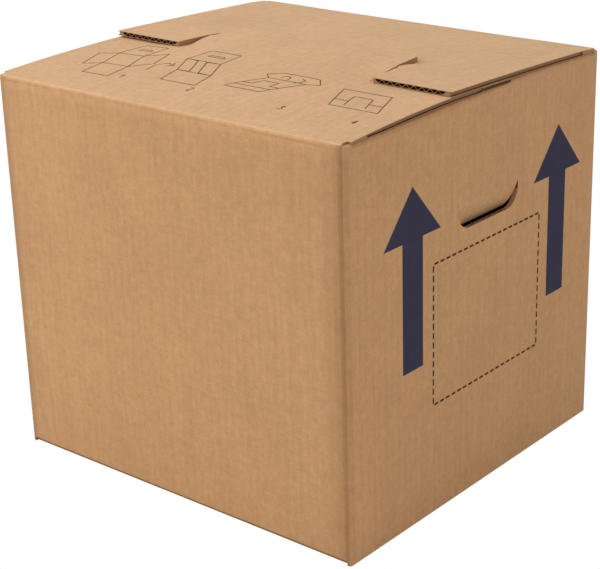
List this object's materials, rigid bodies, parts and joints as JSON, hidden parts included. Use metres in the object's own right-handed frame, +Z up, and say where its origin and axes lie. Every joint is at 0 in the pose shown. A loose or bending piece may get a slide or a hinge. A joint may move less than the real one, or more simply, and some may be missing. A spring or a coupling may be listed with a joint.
{
  "type": "cardboard box",
  "caption": "Closed removals carton of corrugated board, with crossed outer flaps that open, folded inner flaps and hand holes with pushed-in tongues.",
  "frame": {"origin": "middle of the base, on the surface that the box stands on", "axes": "+Z up; +X along the box's width to the end wall with the printed arrows; -Y to the plain front wall"},
  "size_m": [0.37, 0.348, 0.3496],
  "materials": {
    "wall_board": "matt brown kraft liner with faint flute streaks",
    "flap_board": "matt brown kraft liner with faint flute streaks"
  },
  "bodies": {
    "box": {"box_body": "wall_board"},
    "front_flap": {"front_outer_flap": "flap_board"},
    "back_flap": {"back_outer_flap": "flap_board"}
  },
  "joints": [
    {"name": "front_flap_hinge", "type": "hinge", "parent": "box", "child": "front_flap", "pos_m": [0, -0.174, 0.34], "axis": [1, 0, 0], "range_deg": [0, 175]},
    {"name": "back_flap_hinge", "type": "hinge", "parent": "box", "child": "back_flap", "pos_m": [0, 0.174, 0.34], "axis": [-1, 0, 0], "range_deg": [0, 175]}
  ],
  "couplings": [
    {"joint": "back_flap_hinge", "follows": "front_flap_hinge", "ratio": 1}
  ]
}
